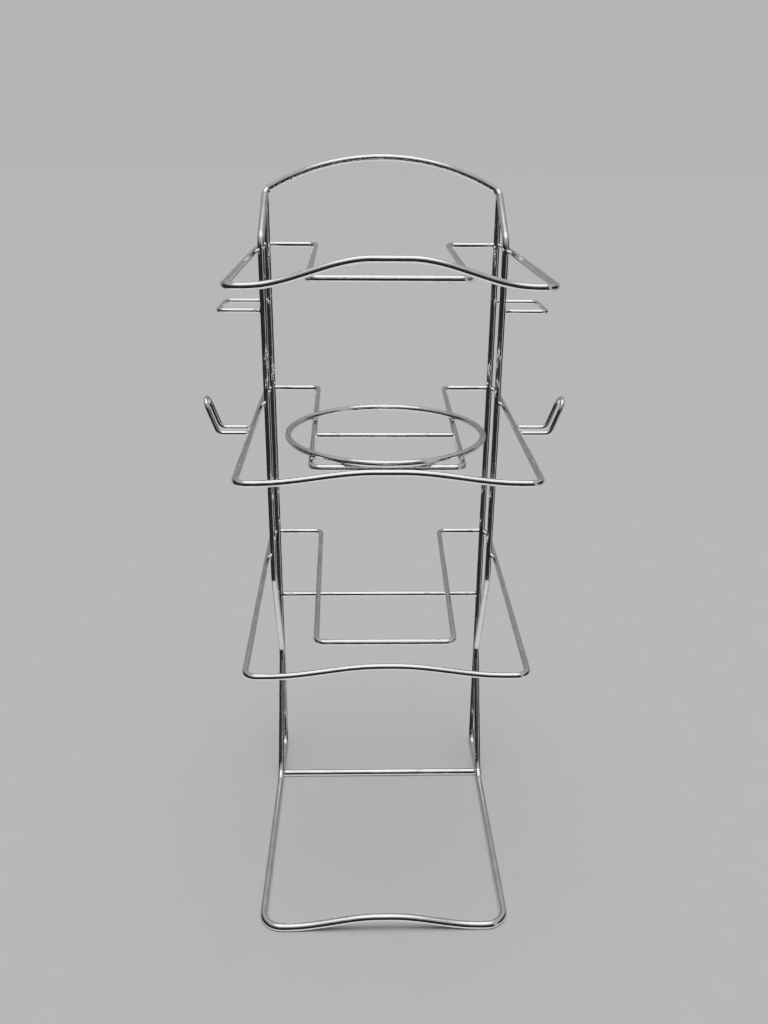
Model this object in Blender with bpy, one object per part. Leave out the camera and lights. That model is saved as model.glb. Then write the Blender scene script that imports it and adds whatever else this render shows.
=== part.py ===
"""Tabletop valet stand, bent and welded from twelve pieces of plated round wire.

Units are metres, +Z is up and the front of the stand faces -Y.

Two bent frames stand one behind the other. The front frame runs from the foot on the
table, up both sides, and over the top as an arch. The rear frame is a tall U whose bottom
lies on the table. Three open tiers, a ring, two bars and two hooks are welded to them.

The pieces are laid out from a datum on the table, midway between the uprights, in the
plane of the two front uprights. An empty then carries them so that the world origin is
at the bottom centre of the whole stand.
"""

import math
from collections import namedtuple

import bpy
from mathutils import Quaternion, Vector

MM = 0.001

# ---------------------------------------------------------------- driving dimensions

# Wire gauges, as diameters.
FRAME_WIRE = 5.0 * MM
TIER_WIRE = 4.0 * MM
RING_WIRE = 4.0 * MM
CROSS_ROD_WIRE = 4.0 * MM
RING_ROD_WIRE = 3.5 * MM
BAR_WIRE = 3.0 * MM
HOOK_WIRE = 3.0 * MM

# Gap between two wires where a weld joins them.
WELD_GAP = 0.3 * MM

# Uprights. Both frames share their half-width, from the centre to the wire's own centre.
UPRIGHT_HALF_WIDTH = 85.0 * MM
REAR_UPRIGHT_Y = 45.5 * MM

# Foot of the front frame.
FOOT_FRONT_Y = -172.0 * MM
FOOT_CORNER_BEND = 14.0 * MM
FOOT_HEEL_BEND = 20.0 * MM
FOOT_WAVE_RISE = 8.0 * MM
FOOT_WAVE_CREST = 5.0 * MM
FOOT_WAVE_END = 66.0 * MM

# Kink of the front frame, which leans back to the rear upright and returns.
KINK_TOP_Z = 188.5 * MM
KINK_MIDDLE_Z = 97.0 * MM
KINK_TOP_BEND = 18.0 * MM
KINK_MIDDLE_BEND = 16.0 * MM

# Top of the front frame: it leans back over the rear uprights and closes as an arch.
LEAN_START_Z = 447.0 * MM
LEAN_BEND = 12.0 * MM
ARCH_TOP_Z = 499.8 * MM
ARCH_RADIUS = 170.0 * MM
ARCH_CORNER_BEND = 6.0 * MM

# Bottom of the rear frame. Its crossbar lies under the front frame's heel bends.
CROSSBAR_Y = -2.8 * MM
REAR_HEEL_BEND = 12.0 * MM
CROSSBAR_BEND = 4.5 * MM

# Rod between the rear uprights.
CROSS_ROD_Z = 150.8 * MM

# Tiers: one keyhole-shaped loop each, with a bay that is open at the back.
TIER_FRONT_Y = -172.0 * MM
TIER_TOE_IN = 2.1 * MM
TIER_FRONT_BEND = 8.0 * MM
BAY_REAR_HALF_WIDTH = 49.4 * MM
BAY_FRONT_HALF_WIDTH = 45.4 * MM
BAY_REAR_BEND = 5.0 * MM
BAY_FRONT_BEND = 6.0 * MM

# What differs between the tiers. z is the height at the rear, droop is how much lower the
# front is, and the wave is the lifted middle of the front edge.
Tier = namedtuple("Tier", "z droop bay_y wave_rise wave_crest wave_end")
UPPER_TIER = Tier(439.0 * MM, 0.0, -140.0 * MM, 14.0 * MM, 10.0 * MM, 76.0 * MM)
MIDDLE_TIER = Tier(330.0 * MM, 0.0, -144.0 * MM, 6.5 * MM, 8.0 * MM, 75.0 * MM)
LOWER_TIER = Tier(207.3 * MM, 3.3 * MM, -131.0 * MM, 6.9 * MM, 5.0 * MM, 72.0 * MM)

# Ring on top of the middle tier, and the rod that crosses the tier's bay below it.
RING_RADIUS = 62.9 * MM
RING_CENTRE_Y = -86.3 * MM
RING_ROD_Y = -78.0 * MM

# Bars: one horizontal U on the outer side of each pair of uprights.
BAR_Z = 398.3 * MM
BAR_REACH = 32.4 * MM
BAR_BEND = 4.5 * MM

# Hooks: one hairpin on each side arm of the middle tier.
HOOK_CENTRE_Y = -66.5 * MM
HOOK_SPACING = 14.0 * MM
HOOK_REACH = 20.2 * MM
HOOK_BEND = 5.0 * MM
HOOK_RISE = 22.0 * MM
HOOK_LEAN = math.radians(20.0)

# ---------------------------------------------------------------- how the wires are faceted

BEVEL_RESOLUTION = 2
SIDES = 2 * BEVEL_RESOLUTION + 4
BEND_STEP = math.radians(15.0)
ARCH_STEPS = 7
WAVE_STEPS = 8
RING_STEPS = 48

# Half a facet of twist turns a flat side of the wire, and not an edge, to the table.
FLAT_DOWN = math.pi / SIDES

# ---------------------------------------------------------------- sizes that follow

# Height of a frame wire's centre when its lowest flat lies on the table.
TABLE_Z = FRAME_WIRE / 2 * math.cos(FLAT_DOWN)

# Centre distances of two wires that are welded side by side.
FRAME_TO_FRAME = FRAME_WIRE + WELD_GAP
FRAME_TO_TIER = (FRAME_WIRE + TIER_WIRE) / 2 + WELD_GAP

# The tiers pass outside all four uprights and behind the rear pair.
TIER_HALF_WIDTH = UPRIGHT_HALF_WIDTH + FRAME_TO_TIER
TIER_REAR_Y = REAR_UPRIGHT_Y + FRAME_TO_TIER

# The arch stands over the rear uprights.
ARCH_CORNER_Z = ARCH_TOP_Z - ARCH_RADIUS + math.sqrt(ARCH_RADIUS ** 2 - UPRIGHT_HALF_WIDTH ** 2)
LEAN_ANGLE = math.atan2(ARCH_CORNER_Z - LEAN_START_Z, REAR_UPRIGHT_Y)

# The stand's front and back, which place it over the origin.
FRONT_Y = min(FOOT_FRONT_Y - FRAME_WIRE / 2, TIER_FRONT_Y - TIER_WIRE / 2)
BACK_Y = TIER_REAR_Y + TIER_WIRE / 2


# ---------------------------------------------------------------- paths of bent wire
# A path is a list of (point, bend radius) pairs.


def plain(points):
    """A path through points that need no bend, because they already follow a curve."""
    return [(Vector(point), 0.0) for point in points]


def mirrored(half):
    """The right half of a path, followed back along its mirror image on the left."""
    left = [(Vector((-point.x, point.y, point.z)), bend)
            for point, bend in reversed(half) if point.x > MM / 10]
    return half + left


def bend_arc(before, corner, after):
    """Points of the arc that rounds one corner, from tangent point to tangent point.

    Each argument is a (point, bend radius) pair. Two bends on one straight share it in
    proportion to their radii, and a bend that has too little room gets tighter.
    """
    point, radius = corner
    towards = point - before[0]
    away = after[0] - point
    turn = towards.angle(away)
    if radius == 0.0 or turn < BEND_STEP / 4:
        return [point]
    room = min(towards.length * radius / (radius + before[1]),
               away.length * radius / (radius + after[1]))
    radius = min(radius, room / math.tan(turn / 2))
    towards.normalize()
    start = point - towards * radius * math.tan(turn / 2)
    axis = towards.cross(away).normalized()
    spoke = towards.cross(axis) * radius
    centre = start - spoke
    steps = max(2, math.ceil(turn / BEND_STEP - 0.01))
    return [centre + Quaternion(axis, turn * step / steps) @ spoke for step in range(steps + 1)]


def rounded(path, closed):
    """The points of a path with its corners bent to their radii."""
    points = []
    count = len(path)
    for index, corner in enumerate(path):
        if not closed and index in (0, count - 1):
            points.append(corner[0])
        else:
            points.extend(bend_arc(path[index - 1], corner, path[(index + 1) % count]))
    return points


def wave(y, z, rise, crest, end):
    """Right half of a lifted front edge, from the end of its level crest down to z."""
    points = []
    for step in range(WAVE_STEPS + 1):
        share = step / WAVE_STEPS
        drop = share * share * (3.0 - 2.0 * share)
        points.append((crest + (end - crest) * share, y, z + rise * (1.0 - drop)))
    return plain(points)


def arch(y):
    """Right half of the arch, from its top down to the last point before the corner."""
    half_angle = math.asin(UPRIGHT_HALF_WIDTH / ARCH_RADIUS)
    points = []
    for step in range(ARCH_STEPS):
        angle = half_angle * step / ARCH_STEPS
        drop = ARCH_RADIUS * (1.0 - math.cos(angle))
        points.append((ARCH_RADIUS * math.sin(angle), y, ARCH_TOP_Z - drop))
    return plain(points)


def between(start, end, share):
    """The value at a share of the way from start to end."""
    return start + (end - start) * share


def tier_z(tier, y):
    """Height of a tier at y, which falls evenly from the rear to the front."""
    return between(tier.z, tier.z - tier.droop, (y - TIER_REAR_Y) / (TIER_FRONT_Y - TIER_REAR_Y))


def side_arm_x(y):
    """Half-width of a tier's side arm at y, in front of the uprights."""
    return TIER_HALF_WIDTH - TIER_TOE_IN * y / TIER_FRONT_Y


def bay_arm_x(tier, y):
    """Half-width of a tier's bay at y."""
    share = (y - TIER_REAR_Y) / (tier.bay_y - TIER_REAR_Y)
    return between(BAY_REAR_HALF_WIDTH, BAY_FRONT_HALF_WIDTH, share)


# ---------------------------------------------------------------- Blender objects


def clear_scene():
    for item in list(bpy.data.objects):
        bpy.data.objects.remove(item, do_unlink=True)


def plated_wire(name, colour, roughness):
    """A bright plated metal."""
    material = bpy.data.materials.new(name)
    material.use_nodes = True
    shader = material.node_tree.nodes["Principled BSDF"]
    shader.inputs["Base Color"].default_value = (*colour, 1.0)
    shader.inputs["Metallic"].default_value = 1.0
    shader.inputs["Roughness"].default_value = roughness
    return material


def add_wire(name, path, gauge, stand, closed=False, colour=(0.78, 0.79, 0.81), roughness=0.14):
    """One piece of round wire of a gauge, bent along a path."""
    points = rounded(path, closed)
    curve = bpy.data.curves.new(name, "CURVE")
    curve.dimensions = "3D"
    curve.bevel_depth = gauge / 2
    curve.bevel_resolution = BEVEL_RESOLUTION
    curve.use_fill_caps = not closed
    spline = curve.splines.new("POLY")
    spline.points.add(len(points) - 1)
    for control, point in zip(spline.points, points):
        control.co = (*point, 1.0)
        control.tilt = FLAT_DOWN
    spline.use_cyclic_u = closed
    spline.use_smooth = True
    curve.materials.append(plated_wire(f"{name}_plating", colour, roughness))
    wire = bpy.data.objects.new(name, curve)
    wire.parent = stand
    stand.users_collection[0].objects.link(wire)
    return wire


# ---------------------------------------------------------------- the pieces


def slope_to_heel(middle_y):
    """Angle from the vertical at which the wire runs down from the kink to the heel bend.

    The heel bend passes over the crossbar, and then comes down to the table.
    """
    passing = FOOT_HEEL_BEND + FRAME_TO_FRAME
    centre_y = CROSSBAR_Y - math.sqrt(passing ** 2 - FOOT_HEEL_BEND ** 2)
    reach = middle_y - centre_y
    drop = KINK_MIDDLE_Z - TABLE_Z - FOOT_HEEL_BEND
    return math.atan2(reach, drop) - math.asin(FOOT_HEEL_BEND / math.hypot(reach, drop))


def kink():
    """Right side of the kink, from the front upright down to the heel of the foot."""
    touch_y = REAR_UPRIGHT_Y - FRAME_TO_FRAME
    above = math.atan2(touch_y, KINK_TOP_Z - KINK_MIDDLE_Z)
    below = slope_to_heel(touch_y)
    # The bend cuts its corner, so the corner lies behind the place where the wires touch.
    cut = math.cos((above - below) / 2) / math.cos((above + below) / 2) - 1.0
    middle_y = touch_y + KINK_MIDDLE_BEND * cut
    heel_y = middle_y - (KINK_MIDDLE_Z - TABLE_Z) * math.tan(slope_to_heel(middle_y))
    return [
        (Vector((UPRIGHT_HALF_WIDTH, 0.0, KINK_TOP_Z)), KINK_TOP_BEND),
        (Vector((UPRIGHT_HALF_WIDTH, middle_y, KINK_MIDDLE_Z)), KINK_MIDDLE_BEND),
        (Vector((UPRIGHT_HALF_WIDTH, heel_y, TABLE_Z)), FOOT_HEEL_BEND),
    ]


def add_front_frame(stand):
    """Closed loop: arch, lean, front uprights, kink, and the foot on the table."""
    foot_corner = Vector((UPRIGHT_HALF_WIDTH, FOOT_FRONT_Y, TABLE_Z))
    lean_top = Vector((UPRIGHT_HALF_WIDTH, REAR_UPRIGHT_Y, ARCH_CORNER_Z))
    lean_start = Vector((UPRIGHT_HALF_WIDTH, 0.0, LEAN_START_Z))
    half = wave(FOOT_FRONT_Y, TABLE_Z, FOOT_WAVE_RISE, FOOT_WAVE_CREST, FOOT_WAVE_END)
    half.append((foot_corner, FOOT_CORNER_BEND))
    half.extend(reversed(kink()))
    half.append((lean_start, LEAN_BEND))
    half.append((lean_top, ARCH_CORNER_BEND))
    half.extend(reversed(arch(REAR_UPRIGHT_Y)))
    add_wire("front_frame", mirrored(half), FRAME_WIRE, stand, closed=True)


def rear_upright_top():
    """Height of the rear uprights' ends, which stop just under the leaning wire."""
    front_side_y = REAR_UPRIGHT_Y - FRAME_WIRE / 2
    lean_z = LEAN_START_Z + front_side_y * math.tan(LEAN_ANGLE)
    return lean_z - (FRAME_WIRE / 2 + WELD_GAP) / math.cos(LEAN_ANGLE)


def add_rear_frame(stand):
    """Open U: two uprights, their heels, and the crossbar on the table."""
    half = [
        (Vector((UPRIGHT_HALF_WIDTH, REAR_UPRIGHT_Y, rear_upright_top())), 0.0),
        (Vector((UPRIGHT_HALF_WIDTH, REAR_UPRIGHT_Y, TABLE_Z)), REAR_HEEL_BEND),
        (Vector((UPRIGHT_HALF_WIDTH, CROSSBAR_Y, TABLE_Z)), CROSSBAR_BEND),
    ]
    add_wire("rear_frame", mirrored(half), FRAME_WIRE, stand)


def add_cross_rod(stand):
    """Straight rod between the rear uprights."""
    end_x = UPRIGHT_HALF_WIDTH - FRAME_WIRE / 2 - WELD_GAP
    half = plain([(end_x, REAR_UPRIGHT_Y, CROSS_ROD_Z)])
    add_wire("rear_cross_rod", mirrored(half), CROSS_ROD_WIRE, stand)


def add_tier(name, stand, tier):
    """Closed keyhole loop: waved front, side arms, rear legs, and the bay between them."""
    front_z = tier_z(tier, TIER_FRONT_Y)
    half = wave(TIER_FRONT_Y, front_z, tier.wave_rise, tier.wave_crest, tier.wave_end)
    half.extend([
        (Vector((side_arm_x(TIER_FRONT_Y), TIER_FRONT_Y, front_z)), TIER_FRONT_BEND),
        (Vector((TIER_HALF_WIDTH, 0.0, tier_z(tier, 0.0))), 0.0),
        (Vector((TIER_HALF_WIDTH, TIER_REAR_Y, tier.z)), FRAME_TO_TIER),
        (Vector((BAY_REAR_HALF_WIDTH, TIER_REAR_Y, tier.z)), BAY_REAR_BEND),
        (Vector((BAY_FRONT_HALF_WIDTH, tier.bay_y, tier_z(tier, tier.bay_y))), BAY_FRONT_BEND),
    ])
    add_wire(name, mirrored(half), TIER_WIRE, stand, closed=True)


def add_ring(stand):
    """Ring that lies on the bay of the middle tier."""
    ring_z = MIDDLE_TIER.z + (TIER_WIRE + RING_WIRE) / 2 + WELD_GAP
    points = []
    for step in range(RING_STEPS):
        angle = math.tau * step / RING_STEPS
        x = RING_RADIUS * math.sin(angle)
        y = RING_CENTRE_Y - RING_RADIUS * math.cos(angle)
        points.append((x, y, ring_z))
    add_wire("ring", plain(points), RING_WIRE, stand, closed=True)


def add_ring_rod(stand):
    """Straight rod across the bay of the middle tier, under the ring."""
    end_x = bay_arm_x(MIDDLE_TIER, RING_ROD_Y) - TIER_WIRE / 2 - WELD_GAP
    half = plain([(end_x, RING_ROD_Y, MIDDLE_TIER.z)])
    add_wire("ring_support_rod", mirrored(half), RING_ROD_WIRE, stand)


def add_bar(name, stand, side):
    """Horizontal U from a front upright round to the rear one. side is 1 right, -1 left."""
    start_x = side * (UPRIGHT_HALF_WIDTH + FRAME_WIRE / 2 + WELD_GAP)
    outer_x = side * (UPRIGHT_HALF_WIDTH + BAR_REACH)
    path = [
        (Vector((start_x, 0.0, BAR_Z)), 0.0),
        (Vector((outer_x, 0.0, BAR_Z)), BAR_BEND),
        (Vector((outer_x, REAR_UPRIGHT_Y, BAR_Z)), BAR_BEND),
        (Vector((start_x, REAR_UPRIGHT_Y, BAR_Z)), 0.0),
    ]
    add_wire(name, path, BAR_WIRE, stand)


def add_hook(name, stand, side):
    """Hairpin out of a side arm of the middle tier, turned up and closed at its end."""
    bend_x = side * (TIER_HALF_WIDTH + HOOK_REACH)
    tip_x = bend_x + side * HOOK_RISE * math.tan(HOOK_LEAN)
    tip_z = MIDDLE_TIER.z + HOOK_RISE
    legs = []
    for leg_side in (-1, 1):
        y = HOOK_CENTRE_Y + leg_side * HOOK_SPACING / 2
        start_x = side * (side_arm_x(y) + TIER_WIRE / 2 + WELD_GAP)
        legs.append([
            (Vector((start_x, y, MIDDLE_TIER.z)), 0.0),
            (Vector((bend_x, y, MIDDLE_TIER.z)), HOOK_BEND),
            (Vector((tip_x, y, tip_z)), HOOK_SPACING / 2),
        ])
    front_leg, rear_leg = legs
    add_wire(name, front_leg + rear_leg[::-1], HOOK_WIRE, stand)


def build():
    clear_scene()
    collection = bpy.data.collections.new("valet_stand")
    bpy.context.scene.collection.children.link(collection)
    stand = bpy.data.objects.new("valet_stand", None)
    stand.location = (0.0, -(FRONT_Y + BACK_Y) / 2, 0.0)
    collection.objects.link(stand)

    add_front_frame(stand)
    add_rear_frame(stand)
    add_cross_rod(stand)
    add_tier("upper_tier", stand, UPPER_TIER)
    add_tier("middle_tier", stand, MIDDLE_TIER)
    add_tier("lower_tier", stand, LOWER_TIER)
    add_ring(stand)
    add_ring_rod(stand)
    for side, word in ((-1, "left"), (1, "right")):
        add_bar(f"{word}_bar", stand, side)
        add_hook(f"{word}_hook", stand, side)


build()
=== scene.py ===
"""Looks of the tabletop valet stand: round plated wire, welds, and a soft studio round it.

The wires of the frame have eight flat sides. Each is read back as a centre line with a
radius, and swept again as a truly round wire. Where two wires meet, a fillet of weld metal
joins them. Units are metres, +Z is up and the front faces -Y, as in the frame.
"""

import math
from collections import namedtuple

import bmesh
import bpy
import numpy as np
from mathutils import Matrix, Vector, noise


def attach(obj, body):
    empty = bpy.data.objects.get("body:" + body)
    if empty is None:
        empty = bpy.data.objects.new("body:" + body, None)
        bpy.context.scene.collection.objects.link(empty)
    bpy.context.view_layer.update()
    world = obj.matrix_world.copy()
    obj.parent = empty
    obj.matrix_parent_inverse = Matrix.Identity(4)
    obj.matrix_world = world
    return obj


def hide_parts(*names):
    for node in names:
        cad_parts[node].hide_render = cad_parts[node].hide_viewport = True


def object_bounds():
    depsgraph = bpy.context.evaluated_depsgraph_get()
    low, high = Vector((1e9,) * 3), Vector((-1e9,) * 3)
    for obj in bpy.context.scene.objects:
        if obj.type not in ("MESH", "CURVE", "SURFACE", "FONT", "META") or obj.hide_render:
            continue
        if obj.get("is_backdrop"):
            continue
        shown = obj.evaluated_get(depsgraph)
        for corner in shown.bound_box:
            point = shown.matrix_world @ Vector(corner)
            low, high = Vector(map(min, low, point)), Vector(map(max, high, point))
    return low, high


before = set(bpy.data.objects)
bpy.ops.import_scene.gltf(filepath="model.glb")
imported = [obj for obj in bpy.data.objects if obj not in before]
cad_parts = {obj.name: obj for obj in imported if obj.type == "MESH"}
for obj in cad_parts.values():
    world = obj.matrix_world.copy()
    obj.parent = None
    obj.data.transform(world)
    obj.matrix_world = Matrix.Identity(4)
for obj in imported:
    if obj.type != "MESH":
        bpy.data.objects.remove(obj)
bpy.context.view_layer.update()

MM = 0.001
BODY = "root"
# UV map of the wires, with lengths along and round the wire.
WIRE_MAP = "wire"

# ---------------------------------------------------------------- wires read from the frame

# Corners of the frame's meshes this close together are the same corner.
SAME_PLACE = 1e-6
# Two flat sides of a wire meet at about 45 degrees, along an edge that runs lengthwise.
LEAST_LENGTHWISE_TURN = math.radians(30.0)
MOST_LENGTHWISE_TURN = math.radians(60.0)
# The sides of a ring of corners are alike in length, and shorter than any other edge across.
SAME_LENGTH = 1.01

# points is an array of places on the centre line, and closed says that they form a loop.
Wire = namedtuple("Wire", "name points radius closed")


def neighbours(pairs):
    """For each item of some pairs, the items that it is paired with."""
    found = {}
    for one, other in pairs:
        found.setdefault(one, []).append(other)
        found.setdefault(other, []).append(one)
    return found


def connected(start, links):
    """Everything that can be reached from start."""
    reached = {start}
    waiting = [start]
    while waiting:
        for item in links[waiting.pop()]:
            if item not in reached:
                reached.add(item)
                waiting.append(item)
    return reached


def in_order(links):
    """The items of one chain or loop from end to end, and whether it is a loop."""
    ends = [item for item in sorted(links) if len(set(links[item])) == 1]
    closed = not ends
    chain = [min(links) if closed else ends[0]]
    seen = set(chain)
    while True:
        following = [item for item in links[chain[-1]] if item not in seen]
        if not following:
            return chain, closed
        chain.append(following[0])
        seen.add(following[0])


def read_edges(faceted):
    """The corners' places, and as pairs of corners the lengthwise edges and the rings' sides."""
    mesh = bmesh.new()
    mesh.from_mesh(faceted)
    bmesh.ops.remove_doubles(mesh, verts=mesh.verts, dist=SAME_PLACE)
    lengthwise = []
    across = []
    for edge in mesh.edges:
        corners = [vert.index for vert in edge.verts]
        if LEAST_LENGTHWISE_TURN < edge.calc_face_angle(0.0) < MOST_LENGTHWISE_TURN:
            lengthwise.append(corners)
        else:
            across.append((edge.calc_length(), corners))
    side = min(length for length, corners in across)
    ring_sides = [corners for length, corners in across if length < side * SAME_LENGTH]
    places = np.array([vert.co for vert in mesh.verts])
    mesh.free()
    return places, lengthwise, ring_sides


def read_wire(name, node):
    """The centre line and radius of a CAD node that is a faceted wire."""
    places, lengthwise, ring_sides = read_edges(node.data)
    round_ring = neighbours(ring_sides)
    ring_of = {}
    rings = []
    for corner in sorted(round_ring):
        if corner not in ring_of:
            ring = connected(corner, round_ring)
            ring_of.update((member, len(rings)) for member in ring)
            rings.append(sorted(ring))
    # A ring with corners missing lies within a straight stretch, and isn't needed.
    full = max(len(ring) for ring in rings)
    steps = {tuple(sorted(ring_of[corner] for corner in edge)) for edge in lengthwise}
    steps = [step for step in sorted(steps) if all(len(rings[ring]) == full for ring in step)]
    order, closed = in_order(neighbours(steps))

    centres = np.array([places[rings[ring]].mean(axis=0) for ring in order])
    spokes = places[rings[order[0]]] - centres[0]
    radius = float(np.linalg.norm(spokes, axis=1).mean())
    return Wire(name, centres, radius, closed)


# ---------------------------------------------------------------- smooth centre lines

# A stretch this many times as long as the next one is a straight that meets a bend.
STRAIGHT_RATIO = 1.8
# A bend gets a section for each such part of its turn.
SECTION_TURN = math.radians(3.0)


def unit(vectors):
    """Vectors scaled to length 1, along the last axis."""
    return vectors / np.linalg.norm(vectors, axis=-1, keepdims=True)


def angle_between(one, other):
    """Angle between two unit vectors."""
    return math.acos(max(-1.0, min(1.0, float(one @ other))))


def directions(wire):
    """Direction of the centre line at each of its points.

    It follows the straight where a straight meets a bend. Elsewhere it is the direction of
    the arc through the point and its two neighbours.
    """
    ahead = np.roll(wire.points, -1, axis=0) - wire.points
    length = np.linalg.norm(ahead, axis=1)
    found = []
    last = len(wire.points) - 1
    for index in range(len(wire.points)):
        length_before, length_after = length[index - 1], length[index]
        before = ahead[index - 1] / length_before
        after = ahead[index] / length_after
        if not wire.closed and index == 0:
            found.append(after)
        elif not wire.closed and index == last:
            found.append(before)
        elif length_before > STRAIGHT_RATIO * length_after:
            found.append(before)
        elif length_after > STRAIGHT_RATIO * length_before:
            found.append(after)
        else:
            found.append(unit(before * length_after + after * length_before))
    return np.array(found)


def cubic(start, end, out_of, into, steps):
    """Points of a cubic curve from start towards end, which isn't one of them.

    out_of and into are the curve's directions at its start and at its end.
    """
    reach = np.linalg.norm(end - start) / 3
    first_handle = start + out_of * reach
    last_handle = end - into * reach
    points = []
    for step in range(steps):
        t = step / steps
        points.append((1 - t) ** 3 * start + 3 * t * (1 - t) ** 2 * first_handle
                      + 3 * t * t * (1 - t) * last_handle + t ** 3 * end)
    return points


def smoothed(wire):
    """The same wire with more points in its bends, on cubic curves between the old ones."""
    heading = directions(wire)
    count = len(wire.points)
    points = []
    for index in range(count if wire.closed else count - 1):
        following = (index + 1) % count
        start, end = wire.points[index], wire.points[following]
        out_of, into = heading[index], heading[following]
        along = unit(end - start)
        turn = angle_between(along, out_of) + angle_between(along, into)
        steps = max(1, math.ceil(turn / SECTION_TURN))
        points.extend(cubic(start, end, out_of, into, steps))
    if not wire.closed:
        points.append(wire.points[-1])
    return wire._replace(points=np.array(points))


def segments(wire):
    """Starts and ends of the straight pieces between a wire's points."""
    if wire.closed:
        return wire.points, np.roll(wire.points, -1, axis=0)
    return wire.points[:-1], wire.points[1:]


# ---------------------------------------------------------------- round wire as a mesh

SIDES = 24
# Cut ends have this edge radius, as a share of the wire's radius.
END_ROUNDING = 0.3
END_STEPS = 4
# A direction that no wire starts in, from which the first axis across a wire is worked out.
ASIDE = (0.3, 0.5, 0.8)
# A butt weld in a loop stands proud by this share of the radius, within this half-width.
SEAM_SWELL = 0.07
SEAM_HALF_WIDTH = 1.1 * MM
# The ring's butt weld is at its back, this share of its radius to the right of the middle.
SEAM_SIDEWAYS = 1 / 3


def axes_across(points, closed):
    """Two axes across the centre line at each point, that turn as little as possible."""
    if closed:
        along = unit(np.roll(points, -1, axis=0) - np.roll(points, 1, axis=0))
    else:
        along = unit(np.gradient(points, axis=0))
    across = [unit(np.cross(along[0], ASIDE))]
    for direction in along[1:]:
        carried = across[-1] - direction * (across[-1] @ direction)
        across.append(unit(carried))
    across = np.array(across)
    other = np.cross(along, across)
    if closed:
        arrived = across[-1] - along[0] * (across[-1] @ along[0])
        twist = math.atan2(arrived @ other[0], arrived @ across[0])
        share = -twist * np.arange(len(points))[:, None] / len(points)
        across, other = (np.cos(share) * across + np.sin(share) * other,
                         np.cos(share) * other - np.sin(share) * across)
    return across, other


def with_rounded_ends(wire, radii):
    """Points and radii of an open wire, with sections added that round its two cut edges."""
    edge = wire.radius * END_ROUNDING
    turns = np.arange(END_STEPS) * (math.pi / 2 / END_STEPS)
    narrowed = wire.radius - edge * (1 - np.sin(turns))
    sunk = edge * (1 - np.cos(turns))[:, None]

    points = wire.points.copy()
    start_inward = unit(points[1] - points[0])
    end_inward = unit(points[-2] - points[-1])
    start_sections = points[0] + start_inward * sunk
    end_sections = points[-1] + end_inward * sunk
    points[0] += start_inward * edge
    points[-1] += end_inward * edge
    return (np.concatenate([start_sections, points, end_sections[::-1]]),
            np.concatenate([narrowed, radii, narrowed[::-1]]))


def swollen(wire, seam):
    """Radius of the wire at each point, a little larger at the seam where its ends were joined."""
    radii = np.full(len(wire.points), wire.radius)
    if seam is not None:
        away = np.linalg.norm(wire.points - seam, axis=1)
        radii += wire.radius * SEAM_SWELL * np.exp(-(away / SEAM_HALF_WIDTH) ** 2)
    return radii


def corners_round(points, radii, closed):
    """The corners of a round wire's sections, one section after the other."""
    across, other = axes_across(points, closed)
    turns = np.arange(SIDES) * math.tau / SIDES
    spokes = (np.cos(turns)[None, :, None] * across[:, None]
              + np.sin(turns)[None, :, None] * other[:, None])
    return (points[:, None] + spokes * radii[:, None, None]).reshape(-1, 3)


def faces_round(points, side, closed):
    """The faces between a round wire's sections, with flat ends if it is open.

    With them come their corners' places on the UV map. side is the width of one face.
    """
    steps = np.linalg.norm(np.diff(points, axis=0, append=points[:1]), axis=1)
    travelled = np.concatenate([[0.0], np.cumsum(steps)])
    count = len(points)
    faces = []
    map_places = []
    for row in range(count if closed else count - 1):
        after = (row + 1) % count
        start, end = travelled[row], travelled[row + 1]
        for column in range(SIDES):
            beside = (column + 1) % SIDES
            faces.append((row * SIDES + column, row * SIDES + beside,
                          after * SIDES + beside, after * SIDES + column))
            low, high = column * side, (column + 1) * side
            map_places.extend([(start, low), (start, high), (end, high), (end, low)])
    if not closed:
        for row, columns in ((0, range(SIDES - 1, -1, -1)), (count - 1, range(SIDES))):
            faces.append([row * SIDES + column for column in columns])
            map_places.extend([(travelled[row], column * side) for column in columns])
    return faces, map_places


def sweep(wire, seam=None):
    """A mesh of the round wire. Its UV map holds lengths along and round it, in metres."""
    radii = swollen(wire, seam)
    points = wire.points
    if not wire.closed:
        points, radii = with_rounded_ends(wire, radii)
    faces, map_places = faces_round(points, math.tau * wire.radius / SIDES, wire.closed)
    mesh = bpy.data.meshes.new(wire.name)
    mesh.from_pydata(corners_round(points, radii, wire.closed).tolist(), [], faces)
    layer = mesh.uv_layers.new(name=WIRE_MAP)
    layer.uv.foreach_set("vector", np.array(map_places, np.float32).ravel())
    mesh.shade_smooth()
    return mesh


# ---------------------------------------------------------------- welds

# Two wires are joined where the gap between them is smaller than this.
JOINED_GAP = 0.8 * MM
# Places on a wire are looked at this far apart when joins are searched for.
SEARCH_STEP = 0.5 * MM
# Places whose distance differs by less than this are equally near.
EQUALLY_NEAR = 0.02 * MM
# A fillet's softness and how far it reaches, in radii of the thinner wire.
FILLET_SOFTNESS = 1.15
FILLET_REACH = 2.1
# Softness that is left at the fillet's rim, as a share, so that nothing is divided by zero.
RIM_SOFTNESS = 1e-4
# At its rim a fillet ends this far inside the wires.
RIM_SINK = 0.25 * MM
# Weld metal is uneven by this much, in lumps of this size.
FILLET_ROUGHNESS = 0.05 * MM
FILLET_GRAIN = 1.3 * MM
# A fillet's surface is found along each ray from its middle in equal steps, then in halvings.
FILLET_SUBDIVISIONS = 4
MARCH_STEPS = 30
HALVINGS = 12


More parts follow.
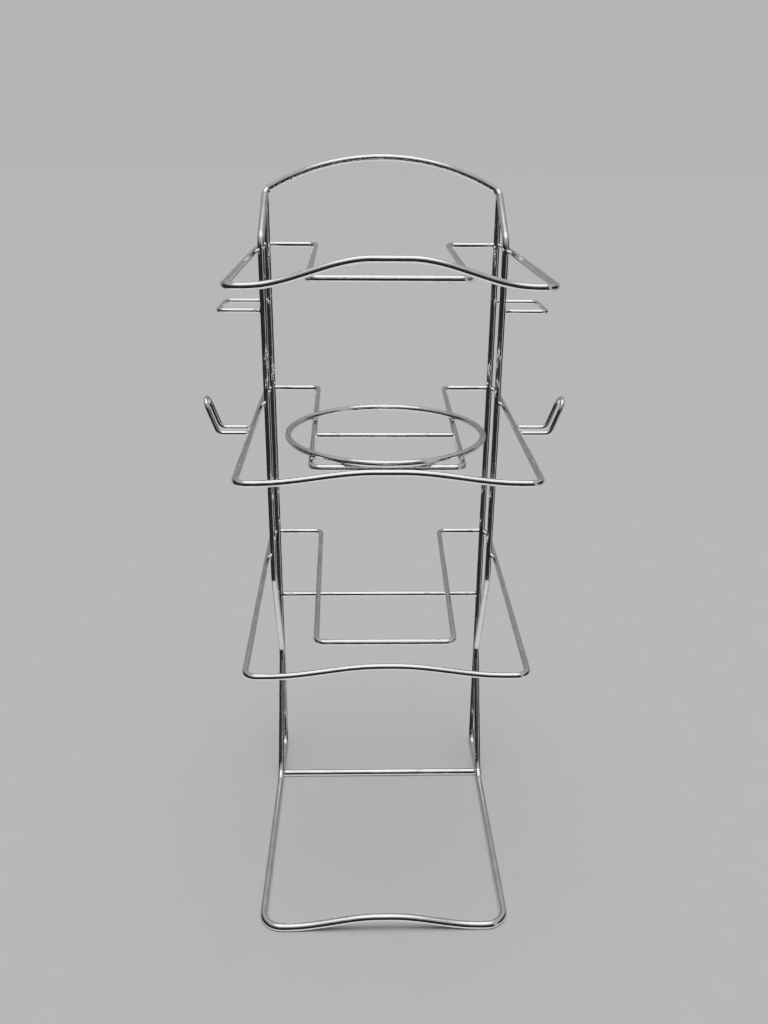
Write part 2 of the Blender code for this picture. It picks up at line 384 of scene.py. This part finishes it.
def nearest(places, starts, ends):
    """Distance from each place to a line of segments, and the nearest point on the line."""
    along = ends - starts
    share = np.einsum("psk,sk->ps", places[:, None] - starts, along) / (along ** 2).sum(axis=1)
    on_line = starts + np.clip(share, 0.0, 1.0)[..., None] * along
    away = np.linalg.norm(places[:, None] - on_line, axis=2)
    best = away.argmin(axis=1)
    rows = np.arange(len(places))
    return away[rows, best], on_line[rows, best]


def spaced(wire):
    """Evenly spaced places along a wire."""
    starts, ends = segments(wire)
    places = []
    for start, end in zip(starts, ends):
        count = max(1, round(np.linalg.norm(end - start) / SEARCH_STEP))
        places.extend(start + (end - start) * step / count for step in range(count))
    return np.array(places + [ends[-1]])


def boxes_meet(one, other):
    """True if the boxes round two wires come close enough for a join."""
    room = one.radius + other.radius + JOINED_GAP
    low = np.maximum(one.points.min(axis=0), other.points.min(axis=0))
    high = np.minimum(one.points.max(axis=0), other.points.max(axis=0))
    return bool((low - high < room).all())


def joins(one, other):
    """Places in the middle of the gaps where two wires are welded together."""
    if not boxes_meet(one, other):
        return []
    places = spaced(one)
    away, opposite = nearest(places, *segments(other))
    close = away < one.radius + other.radius + JOINED_GAP
    found = []
    for run in np.split(np.arange(len(places)), np.flatnonzero(np.diff(close)) + 1):
        if close[run[0]]:
            equal = run[away[run] < away[run].min() + EQUALLY_NEAR]
            middle = equal[len(equal) // 2]
            across = opposite[middle] - places[middle]
            gap = away[middle] - one.radius - other.radius
            found.append(places[middle] + unit(across) * (one.radius + gap / 2))
    return found


def fillet_field(one, other, centre, reach, softness):
    """A function that is below zero inside the weld metal at a place, and above it outside."""
    nearby = []
    for wire in (one, other):
        starts, ends = segments(wire)
        away = np.array([nearest(centre[None], start[None], end[None])[0][0]
                         for start, end in zip(starts, ends)])
        kept = away < wire.radius + 2 * reach
        nearby.append((starts[kept], ends[kept], wire.radius))

    def field(places):
        first, second = (nearest(places, starts, ends)[0] - radius
                         for starts, ends, radius in nearby)
        out = np.linalg.norm(places - centre, axis=1) / reach
        blend = softness * np.clip(1.0 - out * out, RIM_SOFTNESS, 1.0)
        mix = np.clip(0.5 + 0.5 * (second - first) / blend, 0.0, 1.0)
        joined = second * (1 - mix) + first * mix - blend * mix * (1 - mix)
        return joined + RIM_SINK * out * out

    return field


def add_fillet(mesh, one, other, centre):
    """Adds to a bmesh the weld metal that joins two wires round a place between them."""
    thinner = min(one.radius, other.radius)
    reach = FILLET_REACH * thinner
    field = fillet_field(one, other, centre, reach, FILLET_SOFTNESS * thinner)
    sphere = bmesh.ops.create_icosphere(mesh, subdivisions=FILLET_SUBDIVISIONS, radius=1.0)
    made = sphere["verts"]
    rays = np.array([vert.co for vert in made])

    inside = np.zeros(len(rays))
    outside = np.full(len(rays), reach)
    open_yet = np.ones(len(rays), bool)
    for step in range(1, MARCH_STEPS + 1):
        out = reach * step / MARCH_STEPS
        left = field(centre + rays * out) > 0
        outside[open_yet & left] = out
        open_yet &= ~left
        inside[open_yet] = out
    for _ in range(HALVINGS):
        middle = (inside + outside) / 2
        left = field(centre + rays * middle[:, None]) > 0
        outside = np.where(left, middle, outside)
        inside = np.where(left, inside, middle)

    for vert, ray, out in zip(made, rays, inside):
        place = Vector(centre + ray * out)
        place += Vector(ray) * noise.noise(place / FILLET_GRAIN) * FILLET_ROUGHNESS
        vert.co = place


# ---------------------------------------------------------------- materials

# Noises in the plating, as features per metre. A line's are along and round the wire.
CLOUDS_PER_METRE = 90.0
PITS_PER_METRE = 1600.0
WAVES_PER_METRE = 55.0
LINES_PER_METRE = (14.0, 2600.0, 1.0)
CLOUD_ROUGHNESS = 0.6
# The cloud noise at which the plating's tone, and then its haze, starts to change and has changed.
TONE_RANGE = (0.3, 0.7)
HAZE_RANGE = (0.35, 0.75)
# The pit noise at a pit's rim and at its middle, where the plating is this much rougher.
PIT_RANGE = (0.62, 0.74)
PIT_ROUGHNESS = 0.25
PIT_STRENGTH = 0.2
# Drawn wire is a little wavy, and has fine lines along it.
WAVE_DEPTH = 0.08 * MM
WAVE_STRENGTH = 0.5
LINE_DEPTH = 0.004 * MM
LINE_STRENGTH = 0.3

FLOOR_GRAIN_PER_METRE = 40.0
FLOOR_DARK = (0.257, 0.257, 0.254, 1.0)
FLOOR_LIGHT = (0.281, 0.281, 0.278, 1.0)
FLOOR_ROUGHNESS = 0.8


def node(tree, kind, inputs=(), **settings):
    """Adds a shader node. inputs are (name or number, value or output socket) pairs."""
    made = tree.nodes.new(kind)
    for name, value in settings.items():
        setattr(made, name, value)
    for name, value in inputs:
        if isinstance(value, bpy.types.NodeSocket):
            tree.links.new(value, made.inputs[name])
        else:
            made.inputs[name].default_value = value
    return made


def ranged(tree, value, given, wanted=(0.0, 1.0)):
    """A value mapped smoothly from its given range to the wanted one."""
    made = node(tree, "ShaderNodeMapRange", [
        ("Value", value), ("From Min", given[0]), ("From Max", given[1]),
        ("To Min", wanted[0]), ("To Max", wanted[1])], interpolation_type="SMOOTHSTEP")
    return made.outputs["Result"]


def noisy(tree, place, scale, detail, roughness=0.5, dimensions="3D"):
    """Smooth noise between 0 and 1."""
    made = node(tree, "ShaderNodeTexNoise", [
        ("Vector", place), ("Scale", scale), ("Detail", detail), ("Roughness", roughness)],
        noise_dimensions=dimensions)
    return made.outputs["Fac"]


def mixed(tree, share, first, second):
    """A colour at a share of the way from the first to the second."""
    made = node(tree, "ShaderNodeMix", [
        ("Factor", share), ("A", first), ("B", second)], data_type="RGBA")
    return made.outputs["Result"]


def bumped(tree, height, strength, depth, under=None):
    """The surface's direction with a height on it, on top of the bumps under it."""
    inputs = [("Height", height), ("Strength", strength), ("Distance", depth)]
    if under is not None:
        inputs.append(("Normal", under))
    return node(tree, "ShaderNodeBump", inputs).outputs["Normal"]


def new_material(name):
    """A material's node tree and shader, and the place on the object in metres."""
    material = bpy.data.materials.new(name)
    material.use_nodes = True
    tree = material.node_tree
    place = node(tree, "ShaderNodeTexCoord").outputs["Object"]
    return material, tree, tree.nodes["Principled BSDF"], place


def drawn_bumps(tree, place, under):
    """Lengthwise lines and a slight waviness, on top of the bumps under them."""
    on_wire = node(tree, "ShaderNodeUVMap", uv_map=WIRE_MAP).outputs["UV"]
    stretched = node(tree, "ShaderNodeMapping", [
        ("Vector", on_wire), ("Scale", LINES_PER_METRE)]).outputs["Vector"]
    lines = noisy(tree, stretched, 1.0, detail=3.0, dimensions="2D")
    lined = bumped(tree, lines, LINE_STRENGTH, LINE_DEPTH, under)
    waves = noisy(tree, place, WAVES_PER_METRE, detail=1.0)
    return bumped(tree, waves, WAVE_STRENGTH, WAVE_DEPTH, lined)


def plating(name, dark, light, smooth, dull, pit_depth, drawn):
    """Bright plating with cloudy patches, tiny pits and, on drawn wire, lengthwise lines."""
    material, tree, shader, place = new_material(name)
    clouds = noisy(tree, place, CLOUDS_PER_METRE, detail=5.0, roughness=CLOUD_ROUGHNESS)
    pits = noisy(tree, place, PITS_PER_METRE, detail=2.0)
    pit = ranged(tree, pits, PIT_RANGE)

    tone = mixed(tree, ranged(tree, clouds, TONE_RANGE), (*dark, 1.0), (*light, 1.0))
    tree.links.new(tone, shader.inputs["Base Color"])
    shader.inputs["Metallic"].default_value = 1.0

    haze = ranged(tree, clouds, HAZE_RANGE, (smooth, dull))
    rough = node(tree, "ShaderNodeMath", [
        (0, pit), (1, PIT_ROUGHNESS), (2, haze)], operation="MULTIPLY_ADD")
    tree.links.new(rough.outputs["Value"], shader.inputs["Roughness"])

    depth = node(tree, "ShaderNodeMath", [(0, pit), (1, -1.0)], operation="MULTIPLY")
    surface = bumped(tree, depth.outputs["Value"], PIT_STRENGTH, pit_depth)
    if drawn:
        surface = drawn_bumps(tree, place, surface)
    tree.links.new(surface, shader.inputs["Normal"])
    return material


def wire_plating():
    """Bright chrome over drawn wire."""
    return plating("chrome_on_wire", dark=(0.58, 0.59, 0.60), light=(0.70, 0.71, 0.72),
                   smooth=0.05, dull=0.12, pit_depth=0.005 * MM, drawn=True)


def weld_plating():
    """Chrome over weld metal, which is duller and more pitted."""
    return plating("chrome_on_weld", dark=(0.52, 0.53, 0.54), light=(0.68, 0.69, 0.70),
                   smooth=0.10, dull=0.26, pit_depth=0.02 * MM, drawn=False)


def floor_paint():
    """Plain pale matt floor with a faint grain."""
    material, tree, shader, place = new_material("pale_floor")
    grain = noisy(tree, place, FLOOR_GRAIN_PER_METRE, detail=6.0)
    tree.links.new(mixed(tree, grain, FLOOR_DARK, FLOOR_LIGHT), shader.inputs["Base Color"])
    shader.inputs["Roughness"].default_value = FLOOR_ROUGHNESS
    return material


# ---------------------------------------------------------------- the pieces


def add_piece(name, mesh, material):
    """An object of the stand that moves with its one body and takes its one finish."""
    mesh.materials.append(material)
    piece = bpy.data.objects.new(name, mesh)
    bpy.context.scene.collection.objects.link(piece)
    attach(piece, BODY)
    return piece


def ring_seam(wire):
    """Place of the butt weld in the ring."""
    low, high = wire.points.min(axis=0), wire.points.max(axis=0)
    middle = (low + high) / 2
    reach = (high[0] - low[0]) / 2
    turn = math.asin(SEAM_SIDEWAYS)
    return middle + reach * np.array((math.sin(turn), math.cos(turn), 0.0))


def add_wires(nodes, material):
    """A round wire for each faceted one. Returns their centre lines and radii."""
    wires = []
    for name in sorted(nodes):
        wire = smoothed(read_wire(name, nodes[name]))
        seam = ring_seam(wire) if name == "ring" else None
        piece = add_piece(f"{name}_wire", sweep(wire, seam), material)
        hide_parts(name)
        wires.append(wire)
    return wires


def add_welds(wires, material):
    """One piece of weld metal for each two wires that are joined, with all their joins."""
    for index, one in enumerate(wires):
        for other in wires[index + 1:]:
            centres = joins(one, other)
            if centres:
                metal = bmesh.new()
                for centre in centres:
                    add_fillet(metal, one, other, centre)
                mesh = bpy.data.meshes.new(f"welds_{one.name}_{other.name}")
                metal.to_mesh(mesh)
                metal.free()
                mesh.shade_smooth()
                add_piece(mesh.name, mesh, material)


# ---------------------------------------------------------------- studio

FLOOR_SIZE = 40.0

# What the plating mirrors, as directions and as how bright they look. Overhead is a sky light
# in a pale ceiling. Behind is a pale wall. In front and at the sides is a dim room, with one
# lighter strip on the right. Below is the sheen of the sky light on a table.
RIGHT = (1.0, 0.0, 0.0)
BACK = (0.0, 1.0, 0.0)
OVERHEAD = (0.0, -0.07, 1.0)
SHEEN = (0.0, 0.21, -0.98)
ROOM_SHADE = (0.042, 0.036, 0.034)
STRIP_SHADE = (0.75, 0.73, 0.70)
WALL_SHADE = (0.33, 0.33, 0.33)
SHEEN_SHADE = (1.8, 1.9, 1.96)
CEILING_SHADE = (0.70, 0.70, 0.70)
SKY_SHADE = (17.0, 17.2, 17.4)
# Each of them fades in between two cosines of the angle from its direction.
STRIP_OUTER_EDGE = (0.60, 0.70)
STRIP_INNER_EDGE = (0.76, 0.88)
WALL_EDGE = (0.25, 0.75)
SHEEN_EDGE = (0.66, 0.96)
CEILING_EDGE = (0.25, 0.90)
SKY_EDGE = (0.915, 0.965)
# The lit floor's shade, which the camera also sees past the floor.
FLOOR_SHADE = (0.665, 0.665, 0.66)

LAMP_PLACE = Vector((0.2, 0.3, 1.9))
LAMP_TARGET = Vector((0.0, 0.0, 0.2))
LAMP_SIZE = 1.4
LAMP_POWER = 3.0

# Camera: the photograph's place, direction and focal length, with a 36 mm sensor.
CAMERA_PLACE = Vector((-15.5, -595.9, 506.1)) * MM
CAMERA_PITCH = math.radians(21.71)
CAMERA_YAW = math.radians(1.51)
CAMERA_ROLL = math.radians(0.49)
FOCAL_LENGTH = 32.12
CLOSEST_SEEN = 10 * MM


def add_floor(height):
    """Pale floor that the wires don't mirror, because the studio round them has its own."""
    mesh = bpy.data.meshes.new("floor")
    half = FLOOR_SIZE / 2
    corners = [(-half, -half, height), (half, -half, height),
               (half, half, height), (-half, half, height)]
    mesh.from_pydata(corners, [], [(0, 1, 2, 3)])
    mesh.materials.append(floor_paint())
    floor = bpy.data.objects.new("floor", mesh)
    bpy.context.scene.collection.objects.link(floor)
    floor.visible_glossy = False
    floor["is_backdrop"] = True


def add_lamp():
    """A soft square lamp overhead, which lights the floor and isn't mirrored."""
    light = bpy.data.lights.new("overhead", "AREA")
    light.shape = "SQUARE"
    light.size = LAMP_SIZE
    light.energy = LAMP_POWER
    lamp = bpy.data.objects.new("overhead", light)
    lamp.location = LAMP_PLACE
    lamp.rotation_euler = (LAMP_TARGET - LAMP_PLACE).to_track_quat("-Z", "Y").to_euler()
    lamp.visible_glossy = False
    bpy.context.scene.collection.objects.link(lamp)


def add_surroundings():
    """A world that holds what the plating mirrors, and past the floor looks like the floor."""
    world = bpy.data.worlds.new("studio")
    bpy.context.scene.world = world
    world.use_nodes = True
    tree = world.node_tree
    towards = node(tree, "ShaderNodeTexCoord").outputs["Generated"]

    def share(direction, edge):
        """How much of one of the surroundings is seen in each direction, from 0 to 1."""
        cosine = node(tree, "ShaderNodeVectorMath", [
            (0, towards), (1, Vector(direction).normalized())], operation="DOT_PRODUCT")
        return ranged(tree, cosine.outputs["Value"], edge)

    camera_sees = node(tree, "ShaderNodeLightPath").outputs["Is Camera Ray"]
    light = (*ROOM_SHADE, 1.0)
    # Each of these covers the ones before it.
    for seen, shade in [
            (share(RIGHT, STRIP_OUTER_EDGE), STRIP_SHADE),
            (share(RIGHT, STRIP_INNER_EDGE), ROOM_SHADE),
            (share(BACK, WALL_EDGE), WALL_SHADE),
            (share(SHEEN, SHEEN_EDGE), SHEEN_SHADE),
            (share(OVERHEAD, CEILING_EDGE), CEILING_SHADE),
            (share(OVERHEAD, SKY_EDGE), SKY_SHADE),
            (camera_sees, FLOOR_SHADE)]:
        light = mixed(tree, seen, light, (*shade, 1.0))
    tree.links.new(light, tree.nodes["Background"].inputs["Color"])


def add_camera():
    """The photograph's camera."""
    camera = bpy.data.objects.new("camera", bpy.data.cameras.new("camera"))
    camera.data.lens = FOCAL_LENGTH
    camera.data.clip_start = CLOSEST_SEEN
    camera.matrix_world = (
        Matrix.Translation(CAMERA_PLACE)
        @ Matrix.Rotation(-CAMERA_YAW, 4, "Z")
        @ Matrix.Rotation(math.pi / 2 - CAMERA_PITCH, 4, "X")
        @ Matrix.Rotation(CAMERA_ROLL, 4, "Z"))
    bpy.context.scene.collection.objects.link(camera)
    bpy.context.scene.camera = camera


# ---------------------------------------------------------------- the scene

wires = add_wires(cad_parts, wire_plating())
add_welds(wires, weld_plating())
add_floor(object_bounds()[0].z)
add_lamp()
add_surroundings()
add_camera()
